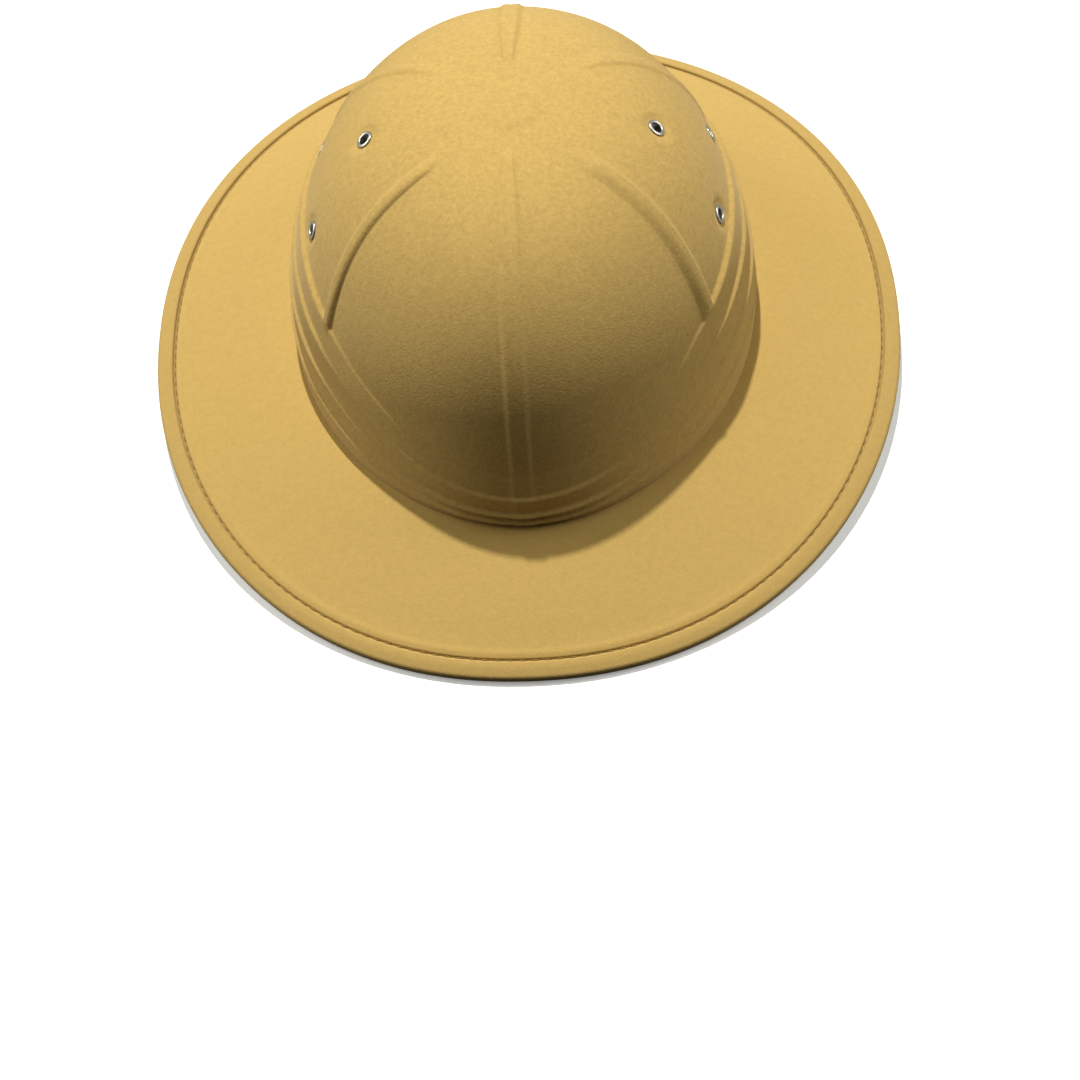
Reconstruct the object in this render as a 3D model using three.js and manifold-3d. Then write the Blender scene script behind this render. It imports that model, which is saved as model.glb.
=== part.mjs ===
// Pith helmet: a moulded dome on a wide oval brim, with a bound edge and six vent eyelets.
// Millimetres, +Z up. The wearer faces -Y. The helmet stands on z = 0 on the edge of its brim.

import * as THREE from 'three';
import { mergeVertices } from 'three/addons/utils/BufferGeometryUtils.js';
import Module from 'manifold-3d';

// Clearance between pieces that touch on the real helmet
const GAP = 0.3;

// Dome: an oval plan under a domed profile, (r / R)^a + (z / H)^b = 1
const DOME_HALF_WIDTH = 87.8;
const DOME_HALF_LENGTH = 103.4;
const DOME_HEIGHT = 108.7;
const DOME_SHOULDER = 2.76;
const DOME_CROWNING = 2.14;
const DOME_WALL = 2.5;

// Moulded band round the foot of the dome. Each step is a line round the dome that stands out below
// it and slopes back in to the next line. Heights are above the foot of the dome.
const STEP_RISE = 1.6;
const STEP_DIP = 1.9;
const BAND_STEPS = [
  { sideHeight: 15, endHeight: 4, sideLip: 2.9, endLip: 2.3, tuck: 1.0 },
  { sideHeight: 29, endHeight: 7.6, sideLip: 3.1, endLip: 2.7, tuck: 1.2 },
  { sideHeight: 43.5, endHeight: 15.8, sideLip: 3.1, endLip: 2.1, tuck: 1.2 },
  { sideHeight: 56, endHeight: 25.2, sideLip: 2.4, endLip: 0.6, tuck: 1.0 },
];

// Diagonal welts: they start near the top, spread as they come down and end on the band.
// Turns are degrees round the dome from the middle of the back.
const WELT_FOOT_TURN = 59.6;
const WELT_TOP_TURN = 53;
const WELT_BEND = 6;
const WELT_FOOT_HEIGHT = 50;
const WELT_TOP_HEIGHT = 107;
const WELT_FADE = 5;
const WELT_RISE_TOP = 1.2;
const WELT_RISE_FOOT = 2.1;
const WELT_CREST = 1.6;
const WELT_OUTER_SLOPE = 4;
const WELT_INNER_SLOPE = 3.6;

// Centre rib from front to back, lower at the back and where it runs down over the band
const RIB_HALF_WIDTH = 4.8;
const RIB_CREST = 2.4;
const RIB_RISE_FRONT = 1.2;
const RIB_RISE_BACK = 0.6;
const RIB_GROOVE = 0.25;
const RIB_START = 14;
const RIB_FADE = 14;
const RIB_LOW_SHARE = 0.3;
const RIB_FULL_HEIGHT = 45;

// Round button moulded on the very top
const BUTTON_RADIUS = 8.5;
const BUTTON_FOOT_RADIUS = 13.5;
const BUTTON_RISE = 0.5;

// Brim: an oval plate that drops from the foot of the dome to its edge
const BRIM_HALF_WIDTH = 145;
const BRIM_HALF_LENGTH = 161;
const BRIM_SQUARENESS = 2.11;
const BRIM_WALL = 2;
const BRIM_DROP_ENDS = 22.2;
const BRIM_DROP_SIDES = 15.5;
const BRIM_ROUNDING = 0.12;
const BRIM_LEVEL_ENDS = 15;
const BRIM_LEDGE = 3;

// Binding: a strip folded over the brim's edge, flat underneath where the helmet stands on it
const BINDING_WIDTH = 7;
const BINDING_WALL = 1;
const BINDING_LIP_EDGE = 0.5;
const BINDING_CORNER = 0.7;
const FOOT_INSET = 0.7;

// Eyelets: a rolled flange outside, a barrel through the wall and a washer inside
const EYELET_BORE_RADIUS = 2.1;
const EYELET_BARREL_RADIUS = 2.4;
const EYELET_FLANGE_RADIUS = 3.9;
const EYELET_FLANGE_RISE = 0.6;
const EYELET_WASHER_RADIUS = 3.7;
const EYELET_WASHER_THICKNESS = 0.5;
const EYELET_WASHER_CLEARANCE = 0.6;
const EYELETS = [
  { place: 'upper', turn: 90, height: 94.7 },
  { place: 'front', turn: 108, height: 60.5 },
  { place: 'rear', turn: 81, height: 62.3 },
];

// Mesh density
const SIDE_PANEL_COLUMNS = 4;
const BACK_PANEL_COLUMNS = 5;
const DOME_ROWS = 12;
const INSIDE_ROWS = 9;
const BRIM_COLUMNS = 80;
const BRIM_RINGS = 3;
const EYELET_SEGMENTS = 14;

const QUARTER_TURN = 90;
const FULL_TURN = 360;
const radians = THREE.MathUtils.degToRad;
const lerp = THREE.MathUtils.lerp;
const smoothstep = THREE.MathUtils.smoothstep;

const felt = new THREE.MeshStandardMaterial({ color: 0xc9a25a, roughness: 0.92, metalness: 0 });
const feltEdge = new THREE.MeshStandardMaterial({ color: 0xc29a52, roughness: 0.9, metalness: 0 });
const nickel = new THREE.MeshStandardMaterial({ color: 0xb9b6ad, roughness: 0.35, metalness: 1 });

// Folds a turn of 0 to 360 degrees into 0 (an end, front or back) to 90 (a side).
function turnFromEnd(turn) {
  const halfTurn = Math.abs(((turn % 180) + 180) % 180);
  return Math.min(halfTurn, 180 - halfTurn);
}

// 0 at the middle of the front and back, 1 at the sides.
function sideness(turn) {
  return Math.abs(Math.sin(radians(turn)));
}

function signedPower(value, power) {
  return Math.sign(value) * Math.abs(value) ** power;
}

// How far out the dome stands at a height, as a share of its half width or length at the foot.
function domeReach(height) {
  const share = Math.min(Math.max(height / DOME_HEIGHT, 0), 1);
  return (1 - share ** DOME_CROWNING) ** (1 / DOME_SHOULDER);
}

function domeHeightAt(reach) {
  return DOME_HEIGHT * (1 - reach ** DOME_SHOULDER) ** (1 / DOME_CROWNING);
}

function domePoint(turn, height) {
  const reach = domeReach(height);
  const x = -DOME_HALF_WIDTH * reach * Math.sin(radians(turn));
  const y = DOME_HALF_LENGTH * reach * Math.cos(radians(turn));
  return new THREE.Vector3(x, y, height);
}

// Outward direction of the plain dome, the gradient of its equation.
function domeNormal(point) {
  const reach = Math.hypot(point.x / DOME_HALF_WIDTH, point.y / DOME_HALF_LENGTH);
  const across = DOME_SHOULDER * Math.max(reach, 1e-6) ** (DOME_SHOULDER - 2);
  const share = Math.max(point.z / DOME_HEIGHT, 0);
  const x = (across * point.x) / DOME_HALF_WIDTH ** 2;
  const y = (across * point.y) / DOME_HALF_LENGTH ** 2;
  const z = (DOME_CROWNING * share ** (DOME_CROWNING - 1)) / DOME_HEIGHT;
  return new THREE.Vector3(x, y, z).normalize();
}

// Millimetres round the dome for one degree of turn, kept from vanishing at the top.
function arcPerDegree(turn, height) {
  const across = DOME_HALF_WIDTH * Math.cos(radians(turn));
  const along = DOME_HALF_LENGTH * Math.sin(radians(turn));
  const radius = Math.max(domeReach(height) * Math.hypot(across, along), 40);
  return radians(radius);
}

// Height of one step of the band: high at the sides, low at the front and back.
function stepHeight(step, turn) {
  return lerp(step.endHeight, step.sideHeight, sideness(turn) ** STEP_DIP);
}

function stepLip(step, turn) {
  return lerp(step.endLip, step.sideLip, sideness(turn) ** 2);
}

// How far the band stands out of the dome at a height.
function bandRise(turn, height) {
  let below = { height: 0, rise: BAND_STEPS[0].tuck };
  for (const [index, step] of BAND_STEPS.entries()) {
    const line = stepHeight(step, turn);
    const above = BAND_STEPS[index + 1];
    const lip = { height: line - STEP_RISE / 2, rise: stepLip(step, turn) };
    const tuck = { height: line + STEP_RISE / 2, rise: above ? above.tuck : 0 };
    if (height <= lip.height) {
      return THREE.MathUtils.mapLinear(height, below.height, lip.height, below.rise, lip.rise);
    }
    if (height <= tuck.height) {
      return THREE.MathUtils.mapLinear(height, lip.height, tuck.height, lip.rise, tuck.rise);
    }
    below = tuck;
  }
  return 0;
}

// Turn of a welt's crest, counted from the nearer end of the helmet.
function weltTurn(height) {
  const climb = Math.max(height - WELT_FOOT_HEIGHT, 0) / (WELT_TOP_HEIGHT - WELT_FOOT_HEIGHT);
  return lerp(WELT_FOOT_TURN, WELT_TOP_TURN, climb ** WELT_BEND);
}

// A welt rises from the side panel to a level crest, then rounds over and falls into the end panel.
function weltRise(turn, height) {
  const bandTop = stepHeight(BAND_STEPS.at(-1), turn);
  const climb = (height - WELT_FOOT_HEIGHT) / (WELT_TOP_HEIGHT - WELT_FOOT_HEIGHT);
  const crest = lerp(WELT_RISE_FOOT, WELT_RISE_TOP, Math.max(climb, 0));
  const topFade = 1 - smoothstep(height, WELT_TOP_HEIGHT - WELT_FADE, WELT_TOP_HEIGHT);
  const footFade = smoothstep(height, bandTop - STEP_RISE / 2, bandTop + STEP_RISE / 2);
  const offset = (turnFromEnd(turn) - weltTurn(height)) * arcPerDegree(turn, height);
  const outer = 1 - smoothstep(offset, WELT_CREST, WELT_OUTER_SLOPE);
  const inward = Math.min(Math.max(-offset / WELT_INNER_SLOPE, 0), 1);
  return crest * topFade * footFade * outer * (1 - inward ** 2) ** 0.6;
}

function ribRise(turn, height) {
  const point = domePoint(turn, height);
  const fade = smoothstep(Math.abs(point.y), RIB_START, RIB_START + RIB_FADE);
  const offset = turnFromEnd(turn) * arcPerDegree(turn, height);
  const full = point.y > 0 ? RIB_RISE_BACK : RIB_RISE_FRONT;
  const share = lerp(RIB_LOW_SHARE, 1, smoothstep(height, 0, RIB_FULL_HEIGHT));
  const crest = full * (1 - smoothstep(offset, RIB_CREST, RIB_HALF_WIDTH));
  const groove = RIB_GROOVE * (1 - smoothstep(offset, 0, RIB_CREST));
  return fade * share * (crest - groove);
}

function buttonRise(turn, height) {
  const point = domePoint(turn, height);
  const radius = Math.hypot(point.x, point.y);
  return BUTTON_RISE * (1 - smoothstep(radius, BUTTON_RADIUS, BUTTON_FOOT_RADIUS));
}

function outsidePoint(turn, height) {
  const point = domePoint(turn, height);
  const rise = bandRise(turn, height) + weltRise(turn, height) + ribRise(turn, height);
  return point.addScaledVector(domeNormal(point), rise + buttonRise(turn, height));
}

function insidePoint(turn, height) {
  const point = domePoint(turn, height);
  return point.addScaledVector(domeNormal(point), -DOME_WALL);
}

// Turns of the columns from the middle of an end to the side, close together on the rib and welt.
function quarterTurns(heightAt) {
  const ribHeight = heightAt(0);
  const weltHeight = heightAt(WELT_FOOT_TURN);
  const crest = weltTurn(weltHeight);
  const ribArc = arcPerDegree(0, ribHeight);
  const weltArc = arcPerDegree(crest, weltHeight);
  const ribFoot = RIB_HALF_WIDTH / ribArc;
  const weltInner = crest - WELT_INNER_SLOPE / weltArc;
  const weltOuter = crest + WELT_OUTER_SLOPE / weltArc;
  const turns = [0, RIB_CREST / ribArc, ribFoot];
  for (let column = 1; column < BACK_PANEL_COLUMNS; column += 1) {
    turns.push(lerp(ribFoot, weltInner, column / BACK_PANEL_COLUMNS));
  }
  turns.push(weltInner, lerp(crest, weltInner, 0.6), crest, crest + WELT_CREST / weltArc, weltOuter);
  for (let column = 1; column < SIDE_PANEL_COLUMNS; column += 1) {
    turns.push(lerp(weltOuter, QUARTER_TURN, column / SIDE_PANEL_COLUMNS));
  }
  return turns;
}

// One ring round the dome. heightAt gives its height at a turn.
function domeRing(heightAt, pointAt) {
  const quarter = quarterTurns(heightAt);
  const half = [...quarter, QUARTER_TURN, ...quarter.slice(1).reverse().map((turn) => 180 - turn)];
  const whole = [...half, ...half.map((turn) => turn + 180)];
  return whole.map((turn) => pointAt(turn, heightAt(turn)));
}

// Rings from a line round the dome up to a reach near the top, evenly spread in reach.
function climbingRings(startAt, topReach, rows, pointAt) {
  const angleOf = (reach) => Math.asin(reach ** (DOME_SHOULDER / 2)) ** (2 / DOME_SHOULDER);
  const rings = [];
  for (let row = 1; row <= rows; row += 1) {
    const heightAt = (turn) => {
      const start = angleOf(domeReach(startAt(turn)));
      const angle = lerp(start, angleOf(topReach), row / rows) ** (DOME_SHOULDER / 2);
      return domeHeightAt(Math.sin(angle) ** (2 / DOME_SHOULDER));
    };
    rings.push(domeRing(heightAt, pointAt));
  }
  return rings;
}

// A closed skin through rings of points that all run anticlockwise as seen from above.
// A ring of one point closes the skin to a tip.
function skin(rings, closesOnItself) {
  const positions = [];
  const triangles = [];
  const starts = rings.map((ring) => {
    const start = positions.length / 3;
    ring.forEach((point) => positions.push(...point.toArray()));
    return start;
  });
  const bands = closesOnItself ? rings.length : rings.length - 1;
  for (let band = 0; band < bands; band += 1) {
    const next = (band + 1) % rings.length;
    const columns = Math.max(rings[band].length, rings[next].length);
    for (let column = 0; column < columns; column += 1) {
      const beside = (column + 1) % columns;
      const low = starts[band] + (rings[band].length > 1 ? column : 0);
      const lowBeside = starts[band] + beside;
      const high = starts[next] + (rings[next].length > 1 ? column : 0);
      const highBeside = starts[next] + beside;
      if (rings[band].length > 1) {
        triangles.push(low, lowBeside, rings[next].length > 1 ? highBeside : high);
      }
      if (rings[next].length > 1) {
        triangles.push(low, highBeside, high);
      }
    }
  }
  const geometry = new THREE.BufferGeometry();
  geometry.setAttribute('position', new THREE.Float32BufferAttribute(positions, 3));
  geometry.setIndex(triangles);
  return geometry;
}

const wasm = await Module();
wasm.setup();

function toSolid(geometry) {
  const bare = geometry.clone();
  bare.deleteAttribute('normal');
  bare.deleteAttribute('uv');
  const welded = mergeVertices(bare, 1e-4);
  const mesh = new wasm.Mesh({
    numProp: 3,
    vertProperties: new Float32Array(welded.getAttribute('position').array),
    triVerts: new Uint32Array(welded.getIndex().array),
  });
  return new wasm.Manifold(mesh);
}

function toGeometry(solid) {
  const mesh = solid.getMesh();
  const geometry = new THREE.BufferGeometry();
  geometry.setAttribute('position', new THREE.Float32BufferAttribute(mesh.vertProperties, 3));
  geometry.setIndex(Array.from(mesh.triVerts));
  return geometry;
}

function makeMesh(name, geometry, material) {
  geometry.computeVertexNormals();
  const mesh = new THREE.Mesh(geometry, material);
  mesh.name = name;
  return mesh;
}

// Where an eyelet sits on the dome, and the way it points.
function eyeletSeat(eyelet, side) {
  const point = domePoint(side * eyelet.turn, eyelet.height);
  const direction = domeNormal(point);
  const turned = new THREE.Quaternion().setFromUnitVectors(new THREE.Vector3(0, 0, 1), direction);
  return { point, turned };
}

function eyeletSeats() {
  const sides = [
    { name: 'left', side: -1 },
    { name: 'right', side: 1 },
  ];
  return sides.flatMap(({ name, side }) =>
    EYELETS.map((eyelet) => ({
      name: `eyelet_${name}_${eyelet.place}`,
      ...eyeletSeat(eyelet, side),
    })),
  );
}

// Dome: the inside from its top down, then round the foot and up the outside.
function makeCrown() {
  const buttonFootReach = (2 * BUTTON_FOOT_RADIUS) / (DOME_HALF_WIDTH + DOME_HALF_LENGTH);
  const buttonReach = (buttonFootReach * BUTTON_RADIUS) / BUTTON_FOOT_RADIUS;
  const insideTop = insidePoint(0, DOME_HEIGHT);
  const insideFoot = domeRing(() => 0, insidePoint);
  const insideRings = climbingRings(() => 0, buttonFootReach, INSIDE_ROWS, insidePoint);

  const bandRings = [domeRing(() => 0, outsidePoint)];
  for (const step of BAND_STEPS) {
    for (const rise of [-STEP_RISE / 2, STEP_RISE / 2]) {
      bandRings.push(domeRing((turn) => stepHeight(step, turn) + rise, outsidePoint));
    }
  }
  const bandTop = (turn) => stepHeight(BAND_STEPS.at(-1), turn) + STEP_RISE / 2;
  const domeRings = climbingRings(bandTop, buttonFootReach, DOME_ROWS, outsidePoint);
  const buttonRing = domeRing(() => domeHeightAt(buttonReach), outsidePoint);

  const rings = [
    [insideTop],
    ...insideRings.reverse(),
    insideFoot,
    ...bandRings,
    ...domeRings,
    buttonRing,
    [outsidePoint(0, DOME_HEIGHT)],
  ];
  let solid = toSolid(skin(rings, false));
  for (const seat of eyeletSeats()) {
    const hole = new THREE.CylinderGeometry(
      EYELET_BARREL_RADIUS + GAP,
      EYELET_BARREL_RADIUS + GAP,
      6 * DOME_WALL,
      EYELET_SEGMENTS,
    );
    hole.rotateX(Math.PI / 2);
    hole.applyQuaternion(seat.turned);
    hole.translate(...seat.point.toArray());
    solid = solid.subtract(toSolid(hole));
  }
  return makeMesh('crown', toGeometry(solid), felt);
}

// Outline of the brim in plan, a slightly squared oval inside the binding.
function brimEdge(turn) {
  const inset = BINDING_WALL + GAP;
  const power = 2 / BRIM_SQUARENESS;
  const x = -(BRIM_HALF_WIDTH - inset) * signedPower(Math.sin(radians(turn)), power);
  const y = (BRIM_HALF_LENGTH - inset) * signedPower(Math.cos(radians(turn)), power);
  return new THREE.Vector3(x, y, 0);
}

// 1 along the front and back stretches that stand on the table, 0 at the sides.
function endness(turn) {
  return 1 - smoothstep(turnFromEnd(turn), BRIM_LEVEL_ENDS, QUARTER_TURN);
}

// The brim's middle surface at one turn, seen in the upright plane from the dome to the edge.
function brimSlice(turn) {
  const inner = insidePoint(turn, 0);
  const foot = domePoint(turn, 0);
  foot.addScaledVector(domeNormal(foot), BRIM_LEDGE);
  const edge = brimEdge(turn);
  const outward = edge.clone().sub(foot).normalize();
  const run = edge.distanceTo(foot);
  const ledgeHeight = -GAP - BRIM_WALL / 2;
  const drop = lerp(BRIM_DROP_SIDES, BRIM_DROP_ENDS, endness(turn)) + ledgeHeight;
  return { inner, foot, outward, run, ledgeHeight, drop };
}

// Slope of the brim, in radians, at a share of the way from the dome to the edge.
function brimSlope(slice, share) {
  return Math.atan((slice.drop / slice.run) * (1 - BRIM_ROUNDING + 2 * BRIM_ROUNDING * share));
}

// A point of the brim or its binding: a share of the way out, then along and square to the slope.
function brimPoint(slice, share, along, above) {
  const slope = brimSlope(slice, share);
  const fall = slice.drop * ((1 - BRIM_ROUNDING) * share + BRIM_ROUNDING * share ** 2);
  const distance = slice.run * share + along * Math.cos(slope) + above * Math.sin(slope);
  const height = slice.ledgeHeight - fall - along * Math.sin(slope) + above * Math.cos(slope);
  return slice.foot.clone().addScaledVector(slice.outward, distance).setZ(height);
}

function ringOfTurns(pointAt) {
  const turns = Array.from({ length: BRIM_COLUMNS }, (_, column) => (column * FULL_TURN) / BRIM_COLUMNS);
  return turns.map(pointAt);
}

// Brim: a level ledge under the dome's foot, then the sloping plate out to the edge.
function makeBrim() {
  const half = BRIM_WALL / 2;
  const ledge = (end, above) =>
    ringOfTurns((turn) => {
      const slice = brimSlice(turn);
      return slice[end].clone().setZ(slice.ledgeHeight + above);
    });
  const plate = (share, above) => ringOfTurns((turn) => brimPoint(brimSlice(turn), share, 0, above));
  const shares = Array.from({ length: BRIM_RINGS }, (_, ring) => (ring + 1) / BRIM_RINGS);
  const rings = [
    ledge('inner', -half),
    ledge('foot', -half),
    ...shares.map((share) => plate(share, -half)),
    ...shares.reverse().map((share) => plate(share, half)),
    ledge('foot', half),
    ledge('inner', half),
  ];
  return makeMesh('brim', skin(rings, true), felt);
}

// Section of the binding at one turn, as distances along and above the slope from the brim's edge.
function bindingSection(turn) {
  const slope = brimSlope(brimSlice(turn), 1);
  const inside = BRIM_WALL / 2 + GAP;
  const outside = inside + BINDING_WALL;
  const face = GAP + BINDING_WALL;
  const lip = face - BINDING_WIDTH;
  const footRise = (face + FOOT_INSET) * Math.tan(slope);
  return [
    { along: lip, above: -inside - BINDING_LIP_EDGE },
    { along: lip + BINDING_CORNER, above: -outside },
    { along: -FOOT_INSET, above: -outside },
    { along: face, above: footRise - outside },
    { along: face, above: outside - 2 * BINDING_CORNER },
    { along: face - BINDING_CORNER, above: outside - BINDING_CORNER / 3 },
    { along: face - 3 * BINDING_CORNER, above: outside },
    { along: lip + BINDING_CORNER, above: outside },
    { along: lip, above: inside + BINDING_LIP_EDGE },
    { along: lip, above: inside },
    { along: GAP, above: inside },
    { along: GAP, above: -inside },
    { along: lip, above: -inside },
  ];
}

function bindingPoint(turn, corner) {
  const { along, above } = bindingSection(turn)[corner];
  return brimPoint(brimSlice(turn), 1, along, above);
}

function makeBinding() {
  const corners = bindingSection(0).map((_, corner) => corner);
  const rings = corners.map((corner) => ringOfTurns((turn) => bindingPoint(turn, corner)));
  return makeMesh('brim_binding', skin(rings, true), feltEdge);
}

// One eyelet as a ring turned on its own axis, with z = 0 on the dome's outside.
function makeEyelet(seat) {
  const flangeTop = GAP + EYELET_FLANGE_RISE;
  const washerTop = -DOME_WALL - EYELET_WASHER_CLEARANCE;
  const washerFoot = washerTop - EYELET_WASHER_THICKNESS;
  const flangeCrest = lerp(EYELET_BORE_RADIUS, EYELET_FLANGE_RADIUS, 0.45);
  const profile = [
    [EYELET_BORE_RADIUS, washerFoot],
    [EYELET_WASHER_RADIUS, washerFoot],
    [EYELET_WASHER_RADIUS, washerTop],
    [EYELET_BARREL_RADIUS, washerTop],
    [EYELET_BARREL_RADIUS, GAP],
    [EYELET_FLANGE_RADIUS, GAP],
    [EYELET_FLANGE_RADIUS - GAP, lerp(GAP, flangeTop, 0.6)],
    [flangeCrest, flangeTop],
    [EYELET_BORE_RADIUS, lerp(GAP, flangeTop, 0.5)],
  ];
  const loop = [...profile, profile[0]].map(([radius, height]) => new THREE.Vector2(radius, height));
  const lathe = new THREE.LatheGeometry(loop, EYELET_SEGMENTS);
  lathe.rotateX(Math.PI / 2);
  const mesh = makeMesh(seat.name, toGeometry(toSolid(lathe)), nickel);
  mesh.position.copy(seat.point);
  mesh.quaternion.copy(seat.turned);
  return mesh;
}

// The pieces are laid out from the foot of the dome, and the whole is lifted to stand on z = 0.
const helmet = new THREE.Group();
helmet.name = 'pith_helmet';
helmet.add(makeCrown(), makeBrim(), makeBinding(), ...eyeletSeats().map(makeEyelet));
helmet.position.z = -new THREE.Box3().setFromObject(helmet).min.z;

export default helmet;
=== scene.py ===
"""Pith helmet: the looks of the moulded dome, its brim, bound edge and vent eyelets.

Lengths are in millimetres and turned into metres where a mesh is made. The wearer faces -Y.
Turns are degrees round the dome from the middle of the back, towards the wearer's right.
Heights are above the dome's foot. Left and right are the wearer's.
"""

import math

import bpy
import numpy as np
from mathutils import Matrix, Vector, noise


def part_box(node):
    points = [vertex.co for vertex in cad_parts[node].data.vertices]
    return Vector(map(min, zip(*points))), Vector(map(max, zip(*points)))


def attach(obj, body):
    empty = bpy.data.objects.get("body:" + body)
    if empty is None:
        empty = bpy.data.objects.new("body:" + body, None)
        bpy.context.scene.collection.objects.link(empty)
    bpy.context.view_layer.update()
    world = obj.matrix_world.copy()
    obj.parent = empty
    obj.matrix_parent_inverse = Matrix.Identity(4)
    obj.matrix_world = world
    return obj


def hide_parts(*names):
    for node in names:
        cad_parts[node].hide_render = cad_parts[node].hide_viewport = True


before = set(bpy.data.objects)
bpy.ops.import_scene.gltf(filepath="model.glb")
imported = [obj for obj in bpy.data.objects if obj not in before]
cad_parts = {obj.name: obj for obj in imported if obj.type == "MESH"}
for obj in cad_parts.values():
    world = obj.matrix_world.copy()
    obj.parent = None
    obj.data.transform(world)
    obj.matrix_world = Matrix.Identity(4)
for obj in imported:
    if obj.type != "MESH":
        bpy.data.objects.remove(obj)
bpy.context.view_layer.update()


# The dome
# One shell of wood fibre pulp pressed over a mould and dried, with a thin felt glued over it.
# The press leaves a centre rib, four welts, a button on top and a stepped band round the foot.

MM = 0.001
FOOT_ABOVE_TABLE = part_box("crown")[0].z / MM

# An oval dome: reach to the power of the shoulder and height to that of the crowning, both as
# shares of the whole, add up to 1. The back is drawn out and a little slimmer at its corners.
DOME_HALF_WIDTH = 87.8
DOME_HALF_LENGTH = 103.4
DOME_HEIGHT = 108.7
DOME_SHOULDER = 2.76
DOME_CROWNING = 2.14
DOME_WALL = 2.5
BACK_DRAWN_OUT = 0.03
BACK_POINT_POWER = 6
BACK_SLIMMED = 0.02
BACK_SLIM_FROM_HEIGHT = 30

# The band's steps: their heights at the sides and ends, and how far lips and tucks stand out.
STEP_RISE = 1.3
STEP_DIP = 1.9
STEP_SOFTNESS = 0.45
CORNER_STARTS = (14, 36)
CORNER_ENDS = (50, 68)
BAND_STEPS = [
    {"side": 15, "end": 4, "side_lip": 2.2, "corner_lip": 2.1, "end_lip": 2.9, "tuck": 1.0},
    {"side": 29, "end": 7.6, "side_lip": 2.3, "corner_lip": 1.5, "end_lip": 3.1, "tuck": 1.2},
    {"side": 43.5, "end": 15.8, "side_lip": 2.2, "corner_lip": 1.1, "end_lip": 2.2, "tuck": 1.2},
    {"side": 56, "end": 25.2, "side_lip": 1.8, "corner_lip": 0.35, "end_lip": 0.25, "tuck": 1.0},
]

# The welts: where they run, how far they rise and how their two sides slope.
WELT_FOOT_TURN = 59.6
WELT_TOP_TURN = 53
WELT_BEND = 6
WELT_FOOT_HEIGHT = 50
WELT_TOP_HEIGHT = 107
WELT_FADE = 5
WELT_RISE_TOP = 1.2
WELT_RISE_FOOT = 1.6
WELT_CREST = 1.6
WELT_OUTER_SLOPE = 4
WELT_INNER_SLOPES = {"left": 2.4, "right": 5.2}
WELT_INNER_ROUNDING = {"left": 0.8, "right": 1.5}
WELT_FRONT_SHARE = 0.6

# The centre rib, with a faint groove along its crest, and the button on top.
RIB_HALF_WIDTH = 4.8
RIB_CREST = 2.4
RIB_RISE_FRONT = 1.0
RIB_RISE_BACK = 0.95
RIB_GROOVE = 0.25
RIB_START = 20
RIB_FADE = 8
RIB_LOW_SHARE = 0.35
RIB_FULL_HEIGHT = 95
BUTTON_RADIUS = 8.5
BUTTON_FOOT_RADIUS = 13.5
BUTTON_RISE = 0.5

# The eyelets' places on each side, and the felt drawn down round them.
EYELET_BARREL_RADIUS = 2.4
EYELET_FLANGE_RADIUS = 3.5
EYELET_DIMPLE = 0.95
EYELET_DIMPLE_REACH = 7.5
EYELETS = [
    {"place": "upper", "turn": 90, "height": 94.7},
    {"place": "front", "turn": 108, "height": 60.5},
    {"place": "rear", "turn": 81, "height": 62.3},
]


def mix(low, high, share):
    return low + (high - low) * share


def ease(value, start, end):
    share = np.clip((value - start) / (end - start), 0, 1)
    return share * share * (3 - 2 * share)


def turn_from_end(turn):
    half = np.mod(turn, 180)
    return np.minimum(half, 180 - half)


def sideness(turn):
    return np.abs(np.sin(np.radians(turn)))


def dome_reach(height):
    share = np.clip(height / DOME_HEIGHT, 0, 1)
    return (1 - share**DOME_CROWNING) ** (1 / DOME_SHOULDER)


def dome_height(reach):
    return DOME_HEIGHT * (1 - reach**DOME_SHOULDER) ** (1 / DOME_CROWNING)


def back_shape(angle, height):
    """The back half is drawn out behind and, above its foot, a little slimmer at its corners."""
    behind = np.clip(np.cos(angle), 0, 1)
    corner = 4 * behind**2 * np.sin(angle) ** 2 * ease(height, 0, BACK_SLIM_FROM_HEIGHT)
    return 1 + BACK_DRAWN_OUT * behind**BACK_POINT_POWER - BACK_SLIMMED * corner


def dome_point(turn, height):
    angle = np.radians(turn)
    reach = dome_reach(height) * back_shape(angle, height)
    x = -DOME_HALF_WIDTH * reach * np.sin(angle)
    y = DOME_HALF_LENGTH * reach * np.cos(angle)
    return np.stack([x, y, height + 0 * x], axis=-1)


def dome_normal(point):
    x, y, z = np.moveaxis(point, -1, 0)
    reach = np.maximum(np.hypot(x / DOME_HALF_WIDTH, y / DOME_HALF_LENGTH), 1e-6)
    across = DOME_SHOULDER * reach ** (DOME_SHOULDER - 2)
    climb = np.maximum(z / DOME_HEIGHT, 0) ** (DOME_CROWNING - 1)
    normal = np.stack(
        [
            across * x / DOME_HALF_WIDTH**2,
            across * y / DOME_HALF_LENGTH**2,
            DOME_CROWNING * climb / DOME_HEIGHT,
        ],
        axis=-1,
    )
    return normal / np.linalg.norm(normal, axis=-1, keepdims=True)


LEAST_ARC_RADIUS = 40


def arc_per_degree(turn, height):
    """Millimetres round the dome for one degree. Near the top it is held, so nothing crowds."""
    angle = np.radians(turn)
    across = DOME_HALF_WIDTH * np.cos(angle)
    along = DOME_HALF_LENGTH * np.sin(angle)
    radius = np.maximum(dome_reach(height) * np.hypot(across, along), LEAST_ARC_RADIUS)
    return np.radians(radius)


def step_height(step, turn):
    return mix(step["end"], step["side"], sideness(turn) ** STEP_DIP)


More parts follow.
